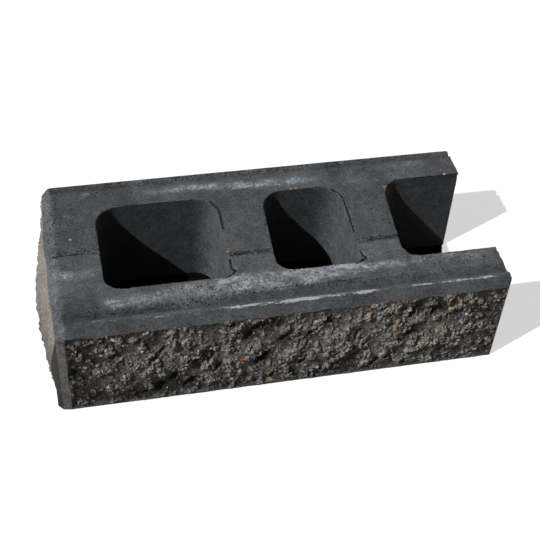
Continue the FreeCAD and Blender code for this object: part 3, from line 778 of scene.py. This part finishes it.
class Nodes:
    """Short ways to add and join the nodes of one material."""

    def __init__(self, name):
        self.material = bpy.data.materials.new(name)
        self.material.use_nodes = True
        self.tree = self.material.node_tree
        self.tree.nodes.clear()
        self.place = self.add("ShaderNodeTexCoord").outputs["Object"]

    def add(self, kind, **inputs):
        node = self.tree.nodes.new(kind)
        for name, value in inputs.items():
            self.put(node.inputs[name.replace("_", " ")], value)
        return node

    def put(self, socket, value):
        if isinstance(value, bpy.types.NodeSocket):
            self.tree.links.new(value, socket)
        else:
            socket.default_value = value

    def math(self, operation, *values, clamp=False):
        node = self.tree.nodes.new("ShaderNodeMath")
        node.operation = operation
        node.use_clamp = clamp
        for socket, value in zip(node.inputs, values):
            self.put(socket, value)
        return node.outputs[0]

    def attribute(self, name):
        node = self.tree.nodes.new("ShaderNodeAttribute")
        node.attribute_name = name
        return node.outputs["Fac"]

    def stones(self, color):
        """Paints the stones that stand out over a colour."""
        node = self.tree.nodes.new("ShaderNodeAttribute")
        node.attribute_name = "stone_color"
        ragged = self.math("MULTIPLY", self.noise(4.0, 5, 0.75), 0.9)
        near = self.math("ADD", self.attribute("stone"), ragged)
        share = self.spread(near, 0.96, 1.03)
        grain = self.grey(self.spread(self.noise(1.5, 2), 0.3, 0.7, 0.75, 1.2))
        return self.mix(share, color, self.mix(1.0, node.outputs["Color"], grain, "MULTIPLY"))

    def noise(self, size_mm, detail=3.0, roughness=0.55, vector=None):
        node = self.add("ShaderNodeTexNoise", Scale=1000.0 / size_mm, Detail=detail, Roughness=roughness)
        self.put(node.inputs["Vector"], vector or self.place)
        return node.outputs["Fac"]

    def spots(self, size_mm, vector=None):
        node = self.add("ShaderNodeTexVoronoi", Scale=1000.0 / size_mm, Randomness=1.0)
        self.put(node.inputs["Vector"], vector or self.place)
        return node.outputs["Distance"], node.outputs["Color"]

    def spread(self, value, low, high, out_low=0.0, out_high=1.0):
        node = self.add("ShaderNodeMapRange")
        node.interpolation_type = "SMOOTHSTEP"
        for name, number in (("Value", value), ("From Min", low), ("From Max", high),
                             ("To Min", out_low), ("To Max", out_high)):
            self.put(node.inputs[name], number)
        return node.outputs["Result"]

    def mix(self, share, first, second, blend="MIX"):
        node = self.tree.nodes.new("ShaderNodeMix")
        node.data_type = "RGBA"
        node.blend_type = blend
        self.put(node.inputs["Factor"], share)
        self.put(node.inputs["A"], first)
        self.put(node.inputs["B"], second)
        return node.outputs["Result"]

    def grey(self, value):
        node = self.tree.nodes.new("ShaderNodeCombineColor")
        for socket in node.inputs:
            self.put(socket, value)
        return node.outputs["Color"]

    def ramp(self, value, stops):
        node = self.tree.nodes.new("ShaderNodeValToRGB")
        node.color_ramp.interpolation = "CONSTANT"
        while len(node.color_ramp.elements) < len(stops):
            node.color_ramp.elements.new(0.5)
        for element, (position, color) in zip(node.color_ramp.elements, stops):
            element.position = position
            element.color = (*color, 1.0)
        self.put(node.inputs["Fac"], value)
        return node.outputs["Color"]

    def mixed(self, share, first, second):
        """A number between two others."""
        node = self.tree.nodes.new("ShaderNodeMix")
        node.data_type = "FLOAT"
        for socket, value in zip((node.inputs[0], node.inputs[2], node.inputs[3]), (share, first, second)):
            self.put(socket, value)
        return node.outputs[0]

    def squeeze(self, x=1.0, y=1.0, z=1.0, turn=0.0):
        node = self.tree.nodes.new("ShaderNodeMapping")
        self.put(node.inputs["Vector"], self.place)
        node.inputs["Rotation"].default_value = (0.0, 0.0, turn)
        node.inputs["Scale"].default_value = (x, y, z)
        return node.outputs["Vector"]

    def finish(self, color, roughness, height, depth_mm):
        bump = self.add("ShaderNodeBump", Height=height, Distance=depth_mm * MM, Strength=1.0)
        shader = self.add("ShaderNodeBsdfPrincipled", Base_Color=color, Roughness=roughness)
        shader.inputs["Specular IOR Level"].default_value = 0.25
        self.put(shader.inputs["Normal"], bump.outputs["Normal"])
        out = self.add("ShaderNodeOutputMaterial")
        self.tree.links.new(shader.outputs["BSDF"], out.inputs["Surface"])
        return self.material


def moulded_concrete():
    """Charcoal concrete from the mould: grain, small pits, pale grit, white bloom and a worn lip."""
    n = Nodes("moulded_concrete")
    # The tone holds painted light and shade on the cells' walls and the right-hand margin, and painted fin
    # shadows
    tone = n.attribute("tone")
    bloom = n.attribute("bloom")
    crowd = n.attribute("rough")
    cloud = n.spread(n.noise(45, 3), 0.3, 0.7, 0.82, 1.18)
    mottle = n.spread(n.noise(12, 4, 0.6), 0.3, 0.7, 0.8, 1.2)
    coarse = n.spread(n.noise(3.0, 4, 0.75), 0.32, 0.68, 0.5, 1.55)
    grain = n.mixed(n.spread(crowd, 0.0, 0.9, 0.75, 1.0), 1.0, coarse)
    level = n.math("MULTIPLY", n.math("MULTIPLY", cloud, mottle), n.math("MULTIPLY", grain, tone))
    plain = n.mix(n.attribute("warm"), (0.070, 0.0755, 0.0815, 1), (0.0785, 0.0765, 0.0725, 1))
    color = n.mix(1.0, n.grey(level), plain, "MULTIPLY")
    patch = n.noise(26, 5, 0.68)
    haze = n.math("ADD", patch, n.math("MULTIPLY", bloom, 0.22))
    haze = n.math("MULTIPLY", n.spread(haze, 0.46, 0.80), n.spread(bloom, 0.02, 0.5))
    fleck = n.noise(4.0, 5, 0.75)
    haze = n.math("MULTIPLY", haze, n.spread(fleck, 0.38, 0.56, 0.25, 0.9))
    veil = n.mix(n.spread(n.noise(24, 2), 0.42, 0.58), (0.175, 0.215, 0.245, 1), (0.225, 0.215, 0.24, 1))
    color = n.mix(haze, color, veil)
    wisp = n.noise(14, 6, 0.72, n.squeeze(0.45, 1.1, 1.0, -0.5))
    film = n.math("ADD", n.math("MULTIPLY", wisp, 0.85), n.math("MULTIPLY", fleck, 0.65))
    film = n.math("ADD", film, n.math("ADD", n.math("MULTIPLY", patch, 0.5), n.math("MULTIPLY", bloom, 0.2)))
    film = n.math("MULTIPLY", n.spread(film, 1.14, 1.36), n.spread(bloom, 0.05, 0.6))
    vein = n.math("ABSOLUTE", n.math("SUBTRACT", n.noise(17, 4, 0.6, n.squeeze(0.6, 1.3, 1.0, -0.6)), 0.5))
    vein = n.math("MULTIPLY", n.spread(vein, 0.004, 0.028, 1.0, 0.0), n.spread(fleck, 0.4, 0.6))
    vein = n.math("MULTIPLY", vein, n.spread(bloom, 0.15, 0.6, 0.0, 0.75))
    color = n.mix(n.math("MULTIPLY", n.math("MAXIMUM", film, vein), 0.85), color, (0.43, 0.47, 0.51, 1))
    streak = n.noise(7, 6, 0.75, n.squeeze(0.3, 1.0, 1.0))
    scuff = n.math("ADD", n.attribute("scuff"), n.math("MULTIPLY", streak, 1.5))
    scuff = n.math("SUBTRACT", scuff, n.math("MULTIPLY", fleck, 0.9))
    color = n.mix(n.math("MULTIPLY", n.spread(scuff, 0.66, 0.92), 0.9), color, (0.42, 0.45, 0.47, 1))
    # Black marks: core-bar lines and the groove, with painted shadow behind the cells' fins and along a rim
    mark_and_shadow = n.math("ADD", n.attribute("mark_and_shadow"), n.math("MULTIPLY", n.noise(3.4, 4, 0.7), 1.6))
    mark_and_shadow = n.spread(mark_and_shadow, 1.32, 1.50)
    color = n.mix(n.math("MULTIPLY", mark_and_shadow, 0.9), color, (0.008, 0.008, 0.009, 1))
    away, tint = n.spots(3.6)
    pick = n.add("ShaderNodeSeparateColor", Color=tint)
    share = n.spread(crowd, 0.0, 1.0, 0.12, 0.68)
    is_pit = n.math("LESS_THAN", pick.outputs["Red"], share)
    size = n.spread(pick.outputs["Green"], 0.0, 1.0, 0.12, 0.42)
    size = n.math("MULTIPLY", size, n.spread(crowd, 0.0, 0.8, 0.75, 1.25))
    pit = n.math("MULTIPLY", n.spread(n.math("SUBTRACT", size, away), 0.0, 0.08), is_pit)
    color = n.mix(n.math("MULTIPLY", pit, 0.85), color, (0.010, 0.010, 0.011, 1))
    away_two, tint_two = n.spots(5.0, n.squeeze(1.1, 0.9, 1.0))
    pick_two = n.add("ShaderNodeSeparateColor", Color=tint_two)
    is_grit = n.math("LESS_THAN", pick_two.outputs["Red"], 0.14)
    grit = n.math("MULTIPLY", n.spread(away_two, 0.12, 0.22, 1.0, 0.0), is_grit)
    color = n.mix(n.math("MULTIPLY", grit, 0.4), color, (0.24, 0.24, 0.23, 1))
    color = n.stones(color)
    relief = n.math("MULTIPLY", n.noise(3.0, 5, 0.75), n.spread(crowd, 0.0, 0.9, 0.45, 1.3))
    relief = n.math("ADD", relief, n.noise(14, 3))
    relief = n.math("SUBTRACT", relief, n.math("MULTIPLY", n.math("MAXIMUM", pit, mark_and_shadow), 1.1))
    rough = n.spread(n.noise(7, 3), 0.3, 0.7, 0.82, 0.95)
    return n.finish(color, rough, relief, 0.9)


STONES = [
    (0.00, (0.105, 0.100, 0.092)), (0.25, (0.075, 0.072, 0.068)), (0.45, (0.145, 0.137, 0.125)),
    (0.60, (0.045, 0.042, 0.040)), (0.72, (0.19, 0.18, 0.165)), (0.80, (0.15, 0.09, 0.055)),
    (0.85, (0.32, 0.24, 0.14)), (0.885, (0.30, 0.15, 0.07)), (0.915, (0.22, 0.14, 0.11)),
    (0.95, (0.42, 0.35, 0.24)), (0.975, (0.30, 0.31, 0.32)),
]


SPECKS = [
    (0.0, (0.44, 0.39, 0.31)), (0.35, (0.32, 0.21, 0.12)), (0.6, (0.30, 0.17, 0.10)),
    (0.8, (0.22, 0.155, 0.13)), (0.9, (0.42, 0.43, 0.44)),
]


def split_concrete():
    """Broken concrete: grey paste, stones of many colours and painted shade in the hollows, paler on the
    left end.
    """
    n = Nodes("split_concrete")
    hollow = n.attribute("hollow")
    left = n.attribute("left_side")
    wobble = n.tree.nodes.new("ShaderNodeVectorMath")
    wobble.operation = "MULTIPLY_ADD"
    drift = n.add("ShaderNodeTexNoise", Scale=250.0, Detail=2.0)
    n.put(drift.inputs["Vector"], n.place)
    n.put(wobble.inputs[0], drift.outputs["Color"])
    wobble.inputs[1].default_value = (0.004, 0.004, 0.004)
    n.put(wobble.inputs[2], n.place)
    away, tint = n.spots(5.0, wobble.outputs[0])
    pick = n.add("ShaderNodeSeparateColor", Color=tint)
    stones = n.ramp(pick.outputs["Red"], STONES)
    away_small, tint_small = n.spots(2.3, wobble.outputs[0])
    pick_small = n.add("ShaderNodeSeparateColor", Color=tint_small)
    sand = n.spread(pick_small.outputs["Red"], 0.0, 1.0, 0.55, 1.5)
    paste = n.mix(1.0, n.grey(sand), (0.139, 0.133, 0.124, 1), "MULTIPLY")
    face = n.math("MULTIPLY", n.spread(away, 0.40, 0.28), n.spread(pick.outputs["Green"], 0.30, 0.45))
    color = n.mix(face, paste, stones)
    # Painted shade: the deeper a point lies in the relief, the darker it is painted
    shade = n.spread(hollow, -6.0, 0.8, 0.12, 1.25)
    crack = n.spread(n.noise(4.4, 4, 0.68), 0.36, 0.5, 0.22, 1.18)
    blotch_and_shade = n.spread(n.noise(30, 3), 0.35, 0.6, 0.8, 1.1)
    axes = n.add("ShaderNodeSeparateXYZ", Vector=n.place)
    blotch_and_shade = n.math("MULTIPLY", blotch_and_shade, n.spread(axes.outputs["X"], -0.05, 0.25, 0.97, 1.1))
    # Lighter along the foot, against the painted shade that the hollow depth gives it there
    blotch_and_shade = n.math("MULTIPLY", blotch_and_shade, n.spread(axes.outputs["Z"], 0.0, 0.016, 1.4, 1.0))
    # The arris at the right end lies in shade
    blotch_and_shade = n.math("MULTIPLY", blotch_and_shade, n.spread(axes.outputs["X"], 0.3148, 0.3162, 1.0, 0.1))
    level = n.math("MULTIPLY", shade, n.math("MULTIPLY", crack, blotch_and_shade))
    front = n.mix(1.0, color, n.grey(level), "MULTIPLY")
    pale = n.mix(0.55, color, (0.27, 0.245, 0.215, 1))
    fine = n.spread(n.noise(4, 4, 0.65), 0.3, 0.65, 0.72, 1.2)
    soft = n.math("MULTIPLY", n.spread(n.noise(60, 3), 0.3, 0.7, 0.85, 1.15), fine)
    soft = n.math("MULTIPLY", soft, n.spread(axes.outputs["Z"], 0.045, 0.14, 0.62, 1.12))
    side = n.mix(1.0, pale, n.grey(soft), "MULTIPLY")
    away_speck, tint_speck = n.spots(3.4)
    pick_speck = n.add("ShaderNodeSeparateColor", Color=tint_speck)
    is_speck = n.math("LESS_THAN", pick_speck.outputs["Red"], 0.10)
    speck = n.math("MULTIPLY", n.spread(away_speck, 0.26, 0.38, 1.0, 0.0), is_speck)
    front = n.mix(n.math("MULTIPLY", speck, 0.8), front, n.ramp(pick_speck.outputs["Green"], SPECKS))
    crumb = n.math("ADD", n.attribute("rim"), n.math("MULTIPLY", n.noise(6, 4, 0.7), 1.4))
    crumb = n.math("MULTIPLY", n.spread(crumb, 1.2, 1.38), n.spread(n.noise(35, 2), 0.4, 0.55))
    front = n.mix(n.math("MULTIPLY", crumb, 0.75), front, (0.30, 0.27, 0.23, 1))
    color = n.stones(n.mix(left, front, side))
    relief = n.math("ADD", n.noise(3.0, 2, 0.5), n.math("MULTIPLY", away, -0.25))
    relief = n.math("ADD", relief, n.math("MULTIPLY", away_small, -0.2))
    return n.finish(color, 0.92, relief, 0.6)


def floor_material():
    """Pale floor, painted nearly black as shade under the block and in its cells, that the camera sees as
    white outside the shadow.
    """
    n = Nodes("pale_floor")
    axes = n.add("ShaderNodeSeparateXYZ", Vector=n.place)
    # Painted shade: the floor under the block and in its open end is nearly black, cut on a slant as the
    # shadow falls
    slant = n.math("MULTIPLY", n.math("SUBTRACT", 0.094, axes.outputs["Y"]), 0.35)
    beneath_right = n.math("LESS_THAN", n.math("ADD", axes.outputs["X"], slant), 0.324)
    beneath_left = n.math("GREATER_THAN", axes.outputs["X"], -0.300)
    beneath_y = n.math("LESS_THAN", n.math("ABSOLUTE", axes.outputs["Y"]), 0.130)
    painted_shade = n.math("MULTIPLY", n.math("MULTIPLY", beneath_left, beneath_right), beneath_y)
    path = n.tree.nodes.new("ShaderNodeLightPath")
    seen = n.math("MAXIMUM", path.outputs["Is Camera Ray"], path.outputs["Is Glossy Ray"])
    seen = n.math("MAXIMUM", seen, path.outputs["Is Transmission Ray"])
    open_color = n.mix(seen, (0.20, 0.17, 0.14, 1), (0.5, 0.5, 0.5, 1))
    color = n.mix(painted_shade, open_color, (0.004, 0.004, 0.004, 1))
    diffuse = n.add("ShaderNodeBsdfDiffuse", Color=color)
    strength = n.math("MULTIPLY", n.math("MULTIPLY", seen, 0.62), n.math("SUBTRACT", 1.0, painted_shade))
    glow = n.add("ShaderNodeEmission", Strength=strength)
    both = n.tree.nodes.new("ShaderNodeAddShader")
    n.tree.links.new(diffuse.outputs[0], both.inputs[0])
    n.tree.links.new(glow.outputs[0], both.inputs[1])
    out = n.add("ShaderNodeOutputMaterial")
    n.tree.links.new(both.outputs[0], out.inputs["Surface"])
    return n.material


# Stage, light and camera

SUN_PATH = Vector((0.644, 0.280, -0.711))
SUN_STRENGTH = 3.7
SKY_STRENGTH = 0.06


def make_stage():
    """Floor, sky and key light."""
    mesh = bpy.data.meshes.new("floor")
    work = bmesh.new()
    bmesh.ops.create_circle(work, cap_ends=True, radius=12.0, segments=96)
    work.to_mesh(mesh)
    work.free()
    floor = bpy.data.objects.new("floor", mesh)
    floor.data.materials.append(floor_material())
    bpy.context.scene.collection.objects.link(floor)
    world = bpy.data.worlds.new("pale_sky")
    bpy.context.scene.world = world
    world.use_nodes = True
    tree = world.node_tree
    tree.nodes.clear()
    path = tree.nodes.new("ShaderNodeLightPath")
    seen = tree.nodes.new("ShaderNodeMath")
    seen.operation = "MAXIMUM"
    tree.links.new(path.outputs["Is Camera Ray"], seen.inputs[0])
    tree.links.new(path.outputs["Is Glossy Ray"], seen.inputs[1])
    level = tree.nodes.new("ShaderNodeMapRange")
    tree.links.new(seen.outputs[0], level.inputs["Value"])
    level.inputs["To Min"].default_value = SKY_STRENGTH
    level.inputs["To Max"].default_value = 1.0
    sky = tree.nodes.new("ShaderNodeBackground")
    tree.links.new(level.outputs[0], sky.inputs["Strength"])
    out = tree.nodes.new("ShaderNodeOutputWorld")
    tree.links.new(sky.outputs[0], out.inputs["Surface"])
    lamp = bpy.data.lights.new("key", "SUN")
    lamp.energy = SUN_STRENGTH
    lamp.angle = math.radians(1.0)
    key = bpy.data.objects.new("key", lamp)
    key.rotation_euler = SUN_PATH.to_track_quat("-Z", "Y").to_euler()
    bpy.context.scene.collection.objects.link(key)


def make_camera():
    """The photo's camera: where it stood, how it was turned and its angle of view."""
    camera = bpy.data.cameras.new("camera")
    camera.lens = 73.03
    camera.sensor_width = 36.0
    camera.clip_end = 50.0
    item = bpy.data.objects.new("camera", camera)
    right = Vector((0.97706909, -0.20623079, 0.05296082))
    up = Vector((0.1094304, 0.69974657, 0.70596015))
    forward = Vector((0.18264987, 0.68397632, -0.70626866))
    turn = Matrix((right, up, -forward)).transposed().to_4x4()
    item.matrix_world = Matrix.Translation((-0.2801, -1.0979, 1.21479)) @ turn
    bpy.context.scene.collection.objects.link(item)
    bpy.context.scene.camera = item


for name in ("Camera", "Cube", "Light"):
    if name in bpy.data.objects:
        bpy.data.objects.remove(bpy.data.objects[name])

piece = make_piece()
piece.data.materials.append(moulded_concrete())
piece.data.materials.append(split_concrete())
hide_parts("block")
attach(piece, "root")
make_stage()
make_camera()
bpy.context.scene.view_settings.view_transform = "Standard"
